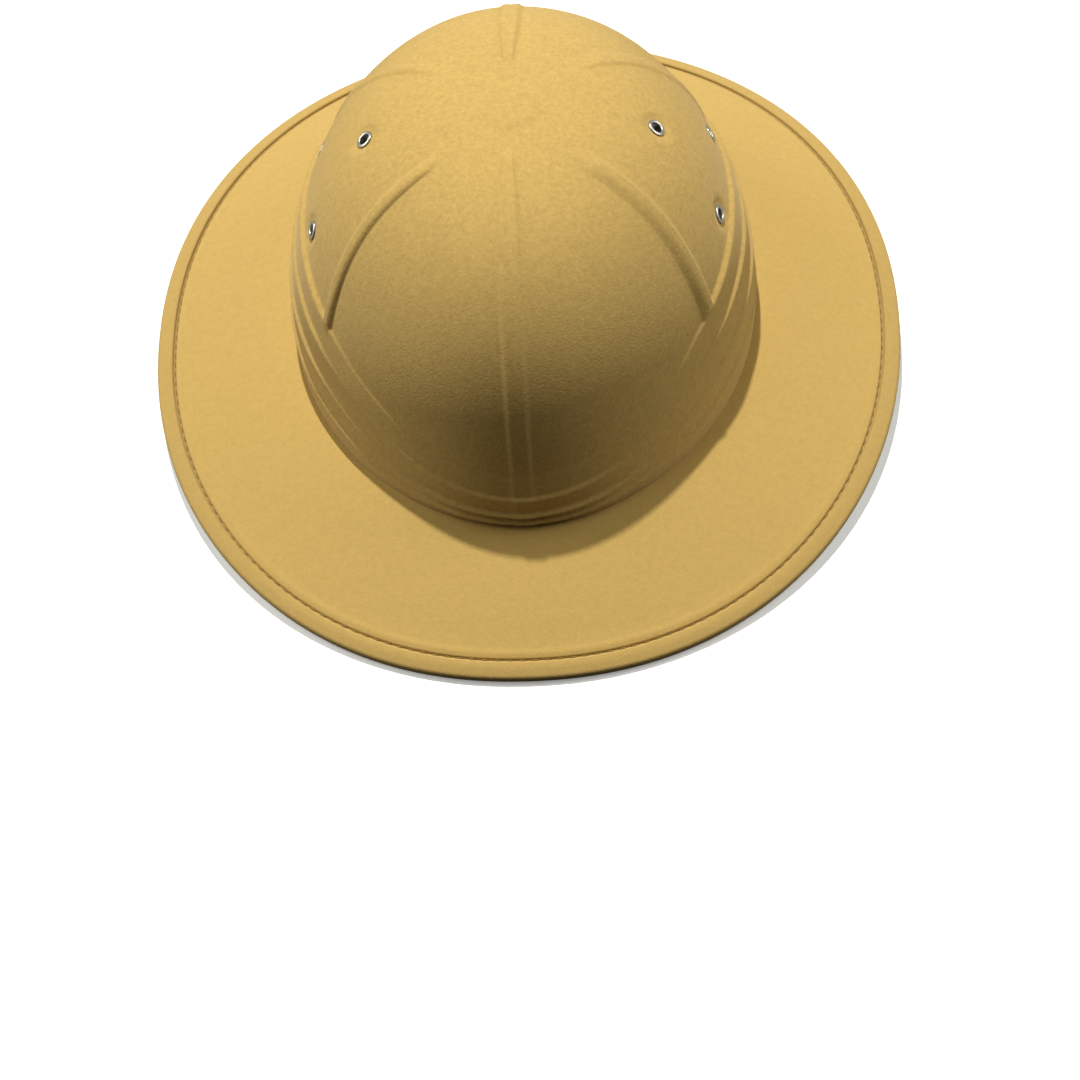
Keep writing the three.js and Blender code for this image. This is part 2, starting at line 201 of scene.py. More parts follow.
def step_lip(step, turn):
    """How far a lip stands out: well at the sides and ends, and hardly at the corners between."""
    turn = turn_from_end(turn)
    low = mix(step["end_lip"], step["corner_lip"], ease(turn, *CORNER_STARTS))
    return mix(low, step["side_lip"], ease(turn, *CORNER_ENDS))


def band_profile(turn, height):
    """The band's bare outline: out to each lip, then in over a small ledge to the next tuck."""
    heights = [0 * turn]
    rises = [BAND_STEPS[0]["tuck"] + 0 * turn]
    for step, above in zip(BAND_STEPS, BAND_STEPS[1:] + [{"tuck": 0}]):
        line = step_height(step, turn)
        heights += [line - STEP_RISE / 2, line + STEP_RISE / 2]
        rises += [step_lip(step, turn), above["tuck"] + 0 * turn]
    rise = 0 * height
    for low, high, start, end in zip(heights, heights[1:], rises, rises[1:]):
        share = (height - low) / (high - low)
        rise = np.where((share >= 0) & (share <= 1), mix(start, end, share), rise)
    return np.where(height < 0, rises[0], rise)


def band_rise(turn, height):
    """The same outline with its corners rounded, as felt lies over them."""
    reach = STEP_SOFTNESS
    spots = [-reach, -reach / 3, reach / 3, reach]
    return sum(band_profile(turn, height + spot) for spot in spots) / len(spots)


def welt_turn(height):
    climb = np.maximum(height - WELT_FOOT_HEIGHT, 0) / (WELT_TOP_HEIGHT - WELT_FOOT_HEIGHT)
    return mix(WELT_FOOT_TURN, WELT_TOP_TURN, climb**WELT_BEND)


def welt_rise(turn, height):
    """A welt rises from the side panel to a level crest, then rounds over into the end panel."""
    band_top = step_height(BAND_STEPS[-1], turn)
    climb = (height - WELT_FOOT_HEIGHT) / (WELT_TOP_HEIGHT - WELT_FOOT_HEIGHT)
    crest = mix(WELT_RISE_FOOT, WELT_RISE_TOP, np.maximum(climb, 0))
    top_fade = 1 - ease(height, WELT_TOP_HEIGHT - WELT_FADE, WELT_TOP_HEIGHT)
    foot_fade = ease(height, band_top - STEP_RISE / 2, band_top + STEP_RISE / 2)
    offset = (turn_from_end(turn) - welt_turn(height)) * arc_per_degree(turn, height)
    outer = 1 - ease(offset, WELT_CREST, WELT_OUTER_SLOPE)
    on_right = np.sin(np.radians(turn)) > 0
    at_back = np.cos(np.radians(turn)) > 0
    slope = np.where(on_right, WELT_INNER_SLOPES["right"], WELT_INNER_SLOPES["left"])
    rounding = np.where(on_right, WELT_INNER_ROUNDING["right"], WELT_INNER_ROUNDING["left"])
    inward = np.clip(-offset / slope, 0, 1)
    crest = crest * np.where(at_back, 1, WELT_FRONT_SHARE)
    return crest * top_fade * foot_fade * outer * (1 - inward**2) ** rounding


def rib_rise(turn, height):
    length = dome_point(turn, height)[..., 1]
    fade = ease(np.abs(length), RIB_START, RIB_START + RIB_FADE)
    share = mix(RIB_LOW_SHARE, 1, ease(height, 0, RIB_FULL_HEIGHT))
    offset = turn_from_end(turn) * arc_per_degree(turn, height)
    full = np.where(length > 0, RIB_RISE_BACK, RIB_RISE_FRONT)
    crest = full * (1 - ease(offset, RIB_CREST, RIB_HALF_WIDTH))
    groove = RIB_GROOVE * (1 - ease(offset, 0, RIB_CREST))
    return fade * share * (crest - groove)


def button_rise(turn, height):
    point = dome_point(turn, height)
    radius = np.hypot(point[..., 0], point[..., 1])
    return BUTTON_RISE * (1 - ease(radius, BUTTON_RADIUS, BUTTON_FOOT_RADIUS))


def eyelet_seats():
    """Where each eyelet sits on the dome and the way it points, by its name."""
    seats = {}
    for name, side in (("left", -1), ("right", 1)):
        for eyelet in EYELETS:
            turn = np.array(side * eyelet["turn"], float)
            point = dome_point(turn, np.array(eyelet["height"], float))
            seats[f"eyelet_{name}_{eyelet['place']}"] = (point, dome_normal(point))
    return seats


def eyelet_dimple(point):
    """The felt is drawn down round each eyelet, where its flange is clenched."""
    depth = 0
    for seat, _ in eyelet_seats().values():
        away = np.linalg.norm(point - seat, axis=-1)
        depth = depth + EYELET_DIMPLE * (1 - ease(away, EYELET_FLANGE_RADIUS, EYELET_DIMPLE_REACH))
    return depth


HAND_WAVER = 0.22
HAND_WAVER_SIZE = 38


def waver(points, amount, size):
    """Small unevenness of a hand-finished surface, in millimetres."""
    flat = points.reshape(-1, 3) / size
    values = [noise.noise(Vector(spot)) for spot in flat]
    return amount * np.array(values).reshape(points.shape[:-1])


def outside_point(turn, height):
    point = dome_point(turn, height)
    rise = band_rise(turn, height) + welt_rise(turn, height) + rib_rise(turn, height)
    rise = rise + button_rise(turn, height) - eyelet_dimple(point)
    rise = rise + waver(point, HAND_WAVER, HAND_WAVER_SIZE)
    return point + dome_normal(point) * rise[..., None]


def inside_point(turn, height):
    point = dome_point(turn, height)
    return point - dome_normal(point) * DOME_WALL


RIB_COLUMNS = 7
PANEL_COLUMNS = 34
WELT_INNER_COLUMNS = 16
WELT_OUTER_COLUMNS = 10
SIDE_COLUMNS = 36


def quarter_turns(height):
    """Turns from an end to a side, gathered on the rib and the welt, a row for each height."""
    crest = welt_turn(height)
    rib_foot = RIB_HALF_WIDTH / arc_per_degree(0 * height, height)
    welt_arc = arc_per_degree(crest, height)
    widest_slope = max(WELT_INNER_SLOPES.values())
    stops = [0 * height, rib_foot, crest - widest_slope / welt_arc, crest]
    stops += [crest + WELT_OUTER_SLOPE / welt_arc, 90 + 0 * height]
    counts = [RIB_COLUMNS, PANEL_COLUMNS, WELT_INNER_COLUMNS, WELT_OUTER_COLUMNS, SIDE_COLUMNS]
    parts = []
    for start, end, count in zip(stops, stops[1:], counts):
        share = np.arange(count) / count
        parts.append(mix(start[:, None], end[:, None], share[None, :]))
    return np.concatenate(parts, axis=1)


def ring_turns(height):
    """The columns all the way round. The four quarters mirror each other."""
    quarter = quarter_turns(height)
    side = np.full((len(height), 1), 90.0)
    half = np.concatenate([quarter, side, 180 - quarter[:, :0:-1]], axis=1)
    return np.concatenate([half, half + 180], axis=1)


def dome_rings(line_heights, place):
    """Rings of points. line_heights is a list of functions that give a ring's height at a turn."""
    rings = []
    for line in line_heights:
        height_at_welt = np.full(1, float(line(np.array(WELT_FOOT_TURN))))
        turns = ring_turns(height_at_welt)[0]
        rings.append(place(turns, line(turns)))
    return rings


def between(low, high, count):
    """count lines from just above the line low up to the line high."""
    shares = [(step + 1) / count for step in range(count)]
    return [lambda turn, s=s: mix(low(turn), high(turn), s) for s in shares]


def climbing(start, top_reach, count):
    """count lines from the line start up to a reach near the top, evenly spread over the dome."""

    def angle_of(reach):
        return np.arcsin(reach ** (DOME_SHOULDER / 2)) ** (2 / DOME_SHOULDER)

    def line(turn, share):
        angle = mix(angle_of(dome_reach(start(turn))), angle_of(top_reach), share)
        reach = np.sin(angle ** (DOME_SHOULDER / 2)) ** (2 / DOME_SHOULDER)
        return dome_height(reach)

    shares = [(step + 1) / count for step in range(count)]
    return [lambda turn, s=s: line(turn, s) for s in shares]


def belt(low, high, count):
    """Faces between two rings of count points each, which start at the points low and high."""
    sides = [(column, (column + 1) % count) for column in range(count)]
    return [(low + here, low + beside, high + beside, high + here) for here, beside in sides]


def mesh_piece(name, points, faces):
    """A mesh object in the scene from points in millimetres, as heights above the dome's foot."""
    mesh = bpy.data.meshes.new(name)
    lifted = (np.array(points) + (0, 0, FOOT_ABOVE_TABLE)) * MM
    mesh.from_pydata(lifted.tolist(), [], faces)
    mesh.validate()
    piece = bpy.data.objects.new(name, mesh)
    bpy.context.scene.collection.objects.link(piece)
    return piece


FELT_CREASE_ANGLE = 50


def skin(name, rings, closes=False, crease_angle=FELT_CREASE_ANGLE):
    """A smooth object through rings of points that run anticlockwise as seen from above."""
    points, faces, starts = [], [], []
    for ring in rings:
        starts.append(len(points))
        points.extend(np.atleast_2d(ring).tolist())
    pairs = list(zip(range(len(rings)), range(1, len(rings))))
    if closes:
        pairs.append((len(rings) - 1, 0))
    for low, high in pairs:
        low_count = len(np.atleast_2d(rings[low]))
        high_count = len(np.atleast_2d(rings[high]))
        count = max(low_count, high_count)
        between_rings = belt(starts[low], starts[high], count)
        if low_count == 1:
            faces += [(starts[low], face[2], face[3]) for face in between_rings]
        elif high_count == 1:
            faces += [(face[0], face[1], starts[high]) for face in between_rings]
        else:
            faces += between_rings
    piece = mesh_piece(name, points, faces)
    piece.data.shade_smooth()
    piece.data.set_sharp_from_angle(angle=math.radians(crease_angle))
    return piece


def seat_ring(seat, normal, radius, height, sides):
    """A ring of points round an eyelet's axis, at a height above its seat."""
    turned = Vector(normal).to_track_quat("Z", "Y").to_matrix()
    angles = [2 * math.pi * side / sides for side in range(sides)]
    spots = [(radius * math.cos(angle), radius * math.sin(angle), height) for angle in angles]
    return [Vector(seat) + turned @ Vector(spot) for spot in spots]


HOLE_CLEARANCE = 0.3
HOLE_SIDES = 32
CUTTER_HALF_LENGTH = 8


def hole_cutters():
    """Six short rods, one through the dome at each eyelet, joined in one mesh."""
    points, faces = [], []
    radius = EYELET_BARREL_RADIUS + HOLE_CLEARANCE
    for seat, normal in eyelet_seats().values():
        low, high = len(points), len(points) + HOLE_SIDES
        for end in (-CUTTER_HALF_LENGTH, CUTTER_HALF_LENGTH):
            points += seat_ring(seat, normal, radius, end, HOLE_SIDES)
        faces += belt(low, high, HOLE_SIDES)
        faces.append(tuple(low + side for side in reversed(range(HOLE_SIDES))))
        faces.append(tuple(high + side for side in range(HOLE_SIDES)))
    return mesh_piece("hole_cutters", points, faces)


def apply_modifiers(piece):
    """Puts what the piece's modifiers make into its own mesh."""
    seen = piece.evaluated_get(bpy.context.evaluated_depsgraph_get())
    made = bpy.data.meshes.new_from_object(seen)
    piece.modifiers.clear()
    old = piece.data
    piece.data = made
    bpy.data.meshes.remove(old)


BAND_WALL_ROWS = 5
LEDGE_ROWS = 9
DOME_ROWS = 84
INSIDE_ROWS = 22
ABOVE_BUTTON_FOOT = 1.25
BUTTON_ROWS = [*np.linspace(1.2, 0.7, 13), 0.5, 0.3, 0.12]


def make_dome():
    def foot(turn):
        return 0 * turn

    lines = [foot]
    below = foot
    for step in BAND_STEPS:
        lip = lambda turn, step=step: step_height(step, turn) - STEP_RISE
        tuck = lambda turn, step=step: step_height(step, turn) + STEP_RISE
        lines += between(below, lip, BAND_WALL_ROWS)
        lines += between(lip, tuck, LEDGE_ROWS)
        below = tuck
    button_reach = 2 * BUTTON_FOOT_RADIUS / (DOME_HALF_WIDTH + DOME_HALF_LENGTH)
    lines += climbing(below, ABOVE_BUTTON_FOOT * button_reach, DOME_ROWS)
    reaches = [share * button_reach for share in BUTTON_ROWS]
    lines += [lambda turn, reach=reach: dome_height(reach) + 0 * turn for reach in reaches]
    outside = dome_rings(lines, outside_point)
    inside_lines = [foot] + climbing(foot, button_reach, INSIDE_ROWS)
    inside = dome_rings(inside_lines, inside_point)
    top_out = outside_point(np.zeros(1), np.full(1, DOME_HEIGHT))
    top_in = inside_point(np.zeros(1), np.full(1, DOME_HEIGHT))
    return skin("felt_dome", [top_in] + inside[::-1] + outside + [top_out])


felt_dome = make_dome()
cutters = hole_cutters()
holes = felt_dome.modifiers.new("eyelet_holes", "BOOLEAN")
holes.operation = "DIFFERENCE"
holes.solver = "EXACT"
holes.object = cutters
apply_modifiers(felt_dome)
bpy.data.objects.remove(cutters)


FELT_COLOUR = (0.46, 0.303, 0.088, 1)
FELT_ROUGHNESS = (0.86, 0.98)
FELT_SHINE = 0.25
FUZZ_AMOUNT = 0.2
FUZZ_SOFTNESS = 0.5
FUZZ_TINT = (1, 0.86, 0.6, 1)


def add_node(tree, kind, **settings):
    node = tree.nodes.new(kind)
    for name, value in settings.items():
        setattr(node, name, value)
    return node


def felt_group():
    """Pressed wool felt: matted fibres, a soft mottle in the dye and a shallow nap."""
    group = bpy.data.node_groups.new("wool_felt", "ShaderNodeTree")
    face = group.interface
    face.new_socket("Dye", in_out="INPUT", socket_type="NodeSocketColor")
    for name, value in (
        ("Nap Size mm", 0.9),
        ("Mottle Size mm", 2.4),
        ("Mottle Contrast", 0.34),
        ("Warmth Change", 0.07),
    ):
        socket = face.new_socket(name, in_out="INPUT", socket_type="NodeSocketFloat")
        socket.default_value = value
    face.new_socket("Colour", in_out="OUTPUT", socket_type="NodeSocketColor")
    face.new_socket("Height", in_out="OUTPUT", socket_type="NodeSocketFloat")
    face.new_socket("Roughness", in_out="OUTPUT", socket_type="NodeSocketFloat")
    link = group.links.new
    given = add_node(group, "NodeGroupInput")
    made = add_node(group, "NodeGroupOutput")
    place = add_node(group, "ShaderNodeTexCoord")

    def noise_of(size_name, detail, roughness):
        """A noise whose grain has the size that the named input gives."""
        scale = add_node(group, "ShaderNodeMath", operation="DIVIDE")
        scale.inputs[0].default_value = 1 / MM
        link(given.outputs[size_name], scale.inputs[1])
        pattern = add_node(group, "ShaderNodeTexNoise")
        pattern.inputs["Detail"].default_value = detail
        pattern.inputs["Roughness"].default_value = roughness
        link(place.outputs["Object"], pattern.inputs["Vector"])
        link(scale.outputs[0], pattern.inputs["Scale"])
        return pattern

    def around_one(value, contrast_name):
        """Turns a noise into a factor round one, as strong as the named input says."""
        away = add_node(group, "ShaderNodeMath", operation="SUBTRACT")
        away.inputs[1].default_value = 0.5
        link(value, away.inputs[0])
        scaled = add_node(group, "ShaderNodeMath", operation="MULTIPLY_ADD")
        scaled.inputs[2].default_value = 1.0
        link(away.outputs[0], scaled.inputs[0])
        link(given.outputs[contrast_name], scaled.inputs[1])
        return scaled.outputs[0]

    nap = noise_of("Nap Size mm", detail=2.0, roughness=0.6).outputs["Fac"]
    mottle = noise_of("Mottle Size mm", detail=4.0, roughness=0.85)
    tint = add_node(group, "ShaderNodeSeparateColor")
    link(mottle.outputs["Color"], tint.inputs["Color"])
    warm = around_one(tint.outputs["Blue"], "Warmth Change")
    cool = add_node(group, "ShaderNodeMath", operation="SUBTRACT")
    cool.inputs[0].default_value = 2
    link(warm, cool.inputs[1])
    shift = add_node(group, "ShaderNodeCombineColor")
    link(warm, shift.inputs["Red"])
    shift.inputs["Green"].default_value = 1
    link(cool.outputs[0], shift.inputs["Blue"])
    tinted = add_node(group, "ShaderNodeVectorMath", operation="MULTIPLY")
    link(given.outputs["Dye"], tinted.inputs[0])
    link(shift.outputs["Color"], tinted.inputs[1])
    dyed = add_node(group, "ShaderNodeVectorMath", operation="SCALE")
    link(tinted.outputs[0], dyed.inputs[0])
    link(around_one(mottle.outputs["Fac"], "Mottle Contrast"), dyed.inputs["Scale"])
    link(dyed.outputs[0], made.inputs["Colour"])
    link(nap, made.inputs["Height"])
    rough = add_node(group, "ShaderNodeMapRange")
    rough.inputs["To Min"].default_value = FELT_ROUGHNESS[0]
    rough.inputs["To Max"].default_value = FELT_ROUGHNESS[1]
    link(nap, rough.inputs["Value"])
    link(rough.outputs[0], made.inputs["Roughness"])
    return group


wool_felt = felt_group()


def felt_material(name, dye, nap_bump, **amounts):
    """Felt of one dye. nap_bump is the depth of its nap; amounts are inputs of the felt group."""
    material = bpy.data.materials.new(name)
    material.use_nodes = True
    tree = material.node_tree
    shader = tree.nodes["Principled BSDF"]
    felt = add_node(tree, "ShaderNodeGroup", node_tree=wool_felt)
    felt.inputs["Dye"].default_value = dye
    for socket, value in amounts.items():
        felt.inputs[socket.replace("_", " ")].default_value = value
    bump = add_node(tree, "ShaderNodeBump")
    bump.inputs["Strength"].default_value = 1
    bump.inputs["Distance"].default_value = nap_bump * MM
    tree.links.new(felt.outputs["Colour"], shader.inputs["Base Color"])
    tree.links.new(felt.outputs["Roughness"], shader.inputs["Roughness"])
    tree.links.new(felt.outputs["Height"], bump.inputs["Height"])
    tree.links.new(bump.outputs["Normal"], shader.inputs["Normal"])
    shader.inputs["Specular IOR Level"].default_value = FELT_SHINE
    shader.inputs["Sheen Weight"].default_value = FUZZ_AMOUNT
    shader.inputs["Sheen Roughness"].default_value = FUZZ_SOFTNESS
    shader.inputs["Sheen Tint"].default_value = FUZZ_TINT
    return material


dome_felt = felt_material(
    "dome_felt", FELT_COLOUR, nap_bump=0.12, Mottle_Contrast=0.8, Mottle_Size_mm=2.0
)
felt_dome.data.materials.clear()
felt_dome.data.materials.append(dome_felt)
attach(felt_dome, "root")
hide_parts("crown")


# The brim
# An oval board of the same pressed fibre under the same felt, glued under the dome's foot.
# It slopes down all round, more at the front and back than at the sides.

GAP = 0.3

# The rim is a slightly squared oval. The drop is held level for some degrees from each end.
BRIM_HALF_WIDTH = 145
BRIM_HALF_LENGTH = 161
BRIM_SQUARENESS = 2.11
BRIM_WALL = 2
BRIM_DROP_ENDS = 22.2
BRIM_DROP_SIDES = 15.5
BRIM_ROUNDING = 0.12
BRIM_LEVEL_ENDS = 15
BRIM_LEDGE = 3
BRIM_WAVER = 0.35
BRIM_WAVER_SIZE = 55
BINDING_WALL = 1

# Near the bound edge the top swells a little and is drawn down into a groove by the stitching.
GROOVE_FROM_EDGE = 6.2
GROOVE_DEPTH = 0.9
GROOVE_HALF_WIDTH = 0.42
SWELL_FROM_EDGE = 8.6
SWELL_RISE = 0.3
SWELL_HALF_WIDTH = 1.6

BRIM_COLUMNS = 360
BRIM_RINGS = 30
PLAIN_TOP_SHARE = 0.78
RINGS_FROM_EDGE = [0, *np.arange(5, 7.6, 0.2), *np.arange(7.8, 12, 0.5)]


def signed_power(value, power):
    return np.sign(value) * np.abs(value) ** power


def brim_edge(turn):
    inset = BINDING_WALL + GAP
    power = 2 / BRIM_SQUARENESS
    angle = np.radians(turn)
    x = -(BRIM_HALF_WIDTH - inset) * signed_power(np.sin(angle), power)
    y = (BRIM_HALF_LENGTH - inset) * signed_power(np.cos(angle), power)
    return np.stack([x, y, 0 * x], axis=-1)


def brim_slice(turn):
    """The brim at each turn: its start, the way out, how far it runs and how far it drops."""
    foot = dome_point(turn, 0 * turn)
    foot = foot + dome_normal(foot) * BRIM_LEDGE
    edge = brim_edge(turn)
    run = np.linalg.norm(edge - foot, axis=-1)
    outward = (edge - foot) / run[:, None]
    ledge_height = -GAP - BRIM_WALL / 2
    endness = 1 - ease(turn_from_end(turn), BRIM_LEVEL_ENDS, 90)
    drop = mix(BRIM_DROP_SIDES, BRIM_DROP_ENDS, endness) + ledge_height
    return {"foot": foot, "outward": outward, "run": run, "level": ledge_height, "drop": drop}


def brim_slope(piece, share):
    steepening = 1 - BRIM_ROUNDING + 2 * BRIM_ROUNDING * share
    return np.arctan(piece["drop"] / piece["run"] * steepening)


def brim_point(piece, share, along, above):
    """A share of the way out, then along the slope and square to it."""
    slope = brim_slope(piece, share)
    fall = piece["drop"] * ((1 - BRIM_ROUNDING) * share + BRIM_ROUNDING * share**2)
    distance = piece["run"] * share + along * np.cos(slope) + above * np.sin(slope)
    height = piece["level"] - fall - along * np.sin(slope) + above * np.cos(slope)
    point = piece["foot"] + piece["outward"] * distance[:, None]
    point[:, 2] = height
    return point


def bell(distance, half_width):
    return math.exp(-((distance / half_width) ** 2))


def make_brim():
    turns = np.arange(BRIM_COLUMNS) * 360 / BRIM_COLUMNS
    piece = brim_slice(turns)
    inner = inside_point(turns, 0 * turns)
    half = BRIM_WALL / 2

    def ledge(points, above):
        level = points.copy()
        level[:, 2] = piece["level"] + above
        return level

    def plate(share, above):
        point = brim_point(piece, share, 0 * turns, above + 0 * turns)
        looseness = math.sin(math.pi * share) if share < 1 else 0
        middle = brim_point(piece, share, 0, 0 * turns)
        point[:, 2] += looseness * waver(middle, BRIM_WAVER, BRIM_WAVER_SIZE)
        return point

    def beside_groove(from_edge):
        groove = GROOVE_DEPTH * bell(from_edge - GROOVE_FROM_EDGE, GROOVE_HALF_WIDTH)
        swell = SWELL_RISE * bell(from_edge - SWELL_FROM_EDGE, SWELL_HALF_WIDTH)
        return brim_point(piece, 1, -from_edge + 0 * turns, half + swell - groove + 0 * turns)

    shares = [(ring + 1) / BRIM_RINGS for ring in range(BRIM_RINGS)]
    rings = [ledge(inner, -half), ledge(piece["foot"], -half)]
    rings += [plate(share, -half) for share in shares]
    rings += [beside_groove(from_edge) for from_edge in RINGS_FROM_EDGE]
    rings += [plate(share, half) for share in shares[::-1] if share < PLAIN_TOP_SHARE]
    rings += [ledge(piece["foot"], half), ledge(inner, half)]
    return skin("felt_brim", rings, closes=True)


felt_brim = make_brim()
brim_felt = felt_material("brim_felt", FELT_COLOUR, nap_bump=0.1)
felt_brim.data.materials.append(brim_felt)
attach(felt_brim, "root")
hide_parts("brim")


# The bound edge
# A strip of the felt folded over the rim of the brim and drawn tight, so that it rolls round it.
# Its raw edge is turned in, which leaves a fine dark line where it meets the brim.

BINDING_WIDTH = 7
UNDER_BEVEL = 0.7
FOOT_INSET = 0.7
ROLL_RADIUS = 1.9
ROLL_START = 0.2
ROLL_POINTS = 9
LIP_RADIUS = 0.7
LIP_POINTS = 6
BINDING_COLUMNS = 720

# The strip's top swells a little: how far in from the rim's face or from the lip, and how much.
SWOLLEN_FROM_FACE = [(3.1, 0.14), (4.2, 0.2)]
SWOLLEN_FROM_LIP = [(1.9, 0.18), (1.2, 0.08)]


def quarter_round(middle, radii, start, count):
    """count points along a quarter of an oval, from start degrees on."""
    angles = [math.radians(start + step * 90 / (count - 1)) for step in range(count)]
    along = [middle[0] + radii[0] * math.cos(angle) for angle in angles]
    above = [middle[1] + radii[1] * math.sin(angle) for angle in angles]
    return list(zip(along, above))


def binding_section(slope):
    """Corners of the folded strip, as distances along and above the slope from the brim's edge."""
    inside = BRIM_WALL / 2 + GAP
    outside = inside + BINDING_WALL
    face = GAP + BINDING_WALL
    lip = face - BINDING_WIDTH
    foot_rise = (face + FOOT_INSET) * np.tan(slope)
    below = [(lip, -inside - BINDING_WALL / 2), (lip + UNDER_BEVEL, -outside)]
    below += [(-FOOT_INSET, -outside), (face, foot_rise - outside)]
    roll = quarter_round(
        (face - ROLL_RADIUS, ROLL_START), (ROLL_RADIUS, outside - ROLL_START), 0, ROLL_POINTS
    )
    swollen_top = [(face - into, outside + rise) for into, rise in SWOLLEN_FROM_FACE]
    swollen_top += [(lip + into, outside + rise) for into, rise in SWOLLEN_FROM_LIP]
    edge = quarter_round(
        (lip + LIP_RADIUS, outside - LIP_RADIUS), (LIP_RADIUS, LIP_RADIUS), 90, LIP_POINTS
    )
    lining = [(lip, inside), (GAP, inside), (GAP, -inside), (lip, -inside)]
    section = below + roll + swollen_top + edge + lining
    return [(along + 0 * slope, above + 0 * slope) for along, above in section]


def make_binding():
    turns = np.arange(BINDING_COLUMNS) * 360 / BINDING_COLUMNS
    piece = brim_slice(turns)
    section = binding_section(brim_slope(piece, 1))
    rings = [brim_point(piece, 1, along, above) for along, above in section]
    return skin("felt_binding", rings, closes=True)


BINDING_COLOUR = (0.425, 0.28, 0.083, 1)
felt_binding = make_binding()
binding_felt = felt_material("binding_felt", BINDING_COLOUR, nap_bump=0.12, Mottle_Size_mm=2.6)
felt_binding.data.materials.append(binding_felt)
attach(felt_binding, "root")
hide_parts("brim_binding")


# The stitching
# Cotton thread run by machine round the brim, in the groove along the inner lip of the binding.
# It draws the felt down there, so the stitches lie deep, in the shade of the groove.

STITCH_PITCH = 4.6
STITCH_LENGTH = 3.2
STITCH_RADIUS = 0.28
STITCH_FROM_EDGE = 6.25
STITCH_SINK = 0.68

# Each stitch arches in its middle, and its ends taper and dip into the felt.
STITCH_ARCH = 0.16
STITCH_END_DIP = 0.14
STITCH_END_SHARE = 0.02

STITCH_ROUNDS = 9
STITCH_SIDES = 8
SEAM_STEPS = 7200


def make_stitches():
    turns = np.arange(SEAM_STEPS) * (360 / SEAM_STEPS)
    piece = brim_slice(turns)
    along = -STITCH_FROM_EDGE + 0 * turns
    sunk = BRIM_WALL / 2 - STITCH_SINK + 0 * turns
    seam = brim_point(piece, 1, along, sunk)
    above = brim_point(piece, 1, along, sunk + 1) - seam
    steps = np.linalg.norm(np.roll(seam, -1, 0) - seam, axis=1)
    length = np.concatenate([[0], np.cumsum(steps)])
    count = round(length[-1] / STITCH_PITCH)
    points, faces = [], []
    for stitch in range(count):
        middle = (stitch + 0.5) * length[-1] / count
        starts = []
        for ring in range(STITCH_ROUNDS):
            starts.append(len(points))
            share = ring / (STITCH_ROUNDS - 1) * 2 - 1
            at = np.searchsorted(length, middle + share * STITCH_LENGTH / 2) % SEAM_STEPS
            ahead = seam[(at + 1) % SEAM_STEPS] - seam[at]
            ahead /= np.linalg.norm(ahead)
            up = above[at]
            across = np.cross(ahead, up)
            radius = STITCH_RADIUS * math.sqrt(max(1 - share**2, STITCH_END_SHARE))
            lift = STITCH_ARCH * (1 - share**2) - STITCH_END_DIP * share**4
            centre = seam[at] + up * lift
            for side in range(STITCH_SIDES):
                angle = 2 * math.pi * side / STITCH_SIDES
                points.append(centre + radius * (across * math.cos(angle) + up * math.sin(angle)))
        for low, high in zip(starts, starts[1:]):
            faces += [(a, d, c, b) for a, b, c, d in belt(low, high, STITCH_SIDES)]
        faces.append(tuple(starts[0] + side for side in range(STITCH_SIDES)))
        faces.append(tuple(starts[-1] + side for side in reversed(range(STITCH_SIDES))))
    stitches = mesh_piece("binding_stitches", points, faces)
    stitches.data.shade_smooth()
    return stitches


THREAD_COLOUR = (0.27, 0.18, 0.055, 1)
binding_stitches = make_stitches()
thread = felt_material(
    "cotton_thread", THREAD_COLOUR, nap_bump=0.03, Nap_Size_mm=0.3, Mottle_Size_mm=2.0
)
binding_stitches.data.materials.append(thread)
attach(binding_stitches, "root")


# The eyelets
# Nickel-plated brass: a flange rolled over outside, a barrel through the wall, a washer inside.
# They are clenched in a hand press, three to each side, and let air through the dome.

EYELET_BORE_RADIUS = 2.1
EYELET_SUNK = 0.8
EYELET_FLANGE_EDGE = 0.25
EYELET_FLANGE_RISE = 0.45
EYELET_FLANGE_CURL = (-10, 190)
EYELET_FLANGE_POINTS = 13
EYELET_WASHER_RADIUS = 3.7
EYELET_WASHER_THICKNESS = 0.5
EYELET_WASHER_BEVEL = 0.15
EYELET_WASHER_CLEARANCE = 0.6
EYELET_SIDES = 64
EYELET_CREASE_ANGLE = 40


def eyelet_profile():
    """The section of an eyelet from its washer up the outside and down through the bore."""
    washer_top = -DOME_WALL - EYELET_WASHER_CLEARANCE
    washer_foot = washer_top - EYELET_WASHER_THICKNESS
    profile = [
        (EYELET_BORE_RADIUS, washer_foot),
        (EYELET_WASHER_RADIUS - EYELET_WASHER_BEVEL, washer_foot),
        (EYELET_WASHER_RADIUS, washer_foot + EYELET_WASHER_BEVEL),
        (EYELET_WASHER_RADIUS, washer_top),
        (EYELET_BARREL_RADIUS, washer_top),
        (EYELET_BARREL_RADIUS, -EYELET_SUNK),
        (EYELET_FLANGE_RADIUS - EYELET_FLANGE_EDGE, -EYELET_SUNK),
    ]
    middle = mix(EYELET_BORE_RADIUS, EYELET_FLANGE_RADIUS, 0.5)
    half = (EYELET_FLANGE_RADIUS - EYELET_BORE_RADIUS) / 2
    for degrees in np.linspace(*EYELET_FLANGE_CURL, EYELET_FLANGE_POINTS):
        angle = math.radians(degrees)
        height = EYELET_FLANGE_EDGE - EYELET_SUNK + EYELET_FLANGE_RISE * math.sin(angle)
        profile.append((middle + half * math.cos(angle), height))
    return profile


def make_eyelet(name, seat, normal):
    profile = eyelet_profile()
    rings = [seat_ring(seat, normal, radius, rise, EYELET_SIDES) for radius, rise in profile]
    return skin(name, rings, closes=True, crease_angle=EYELET_CREASE_ANGLE)


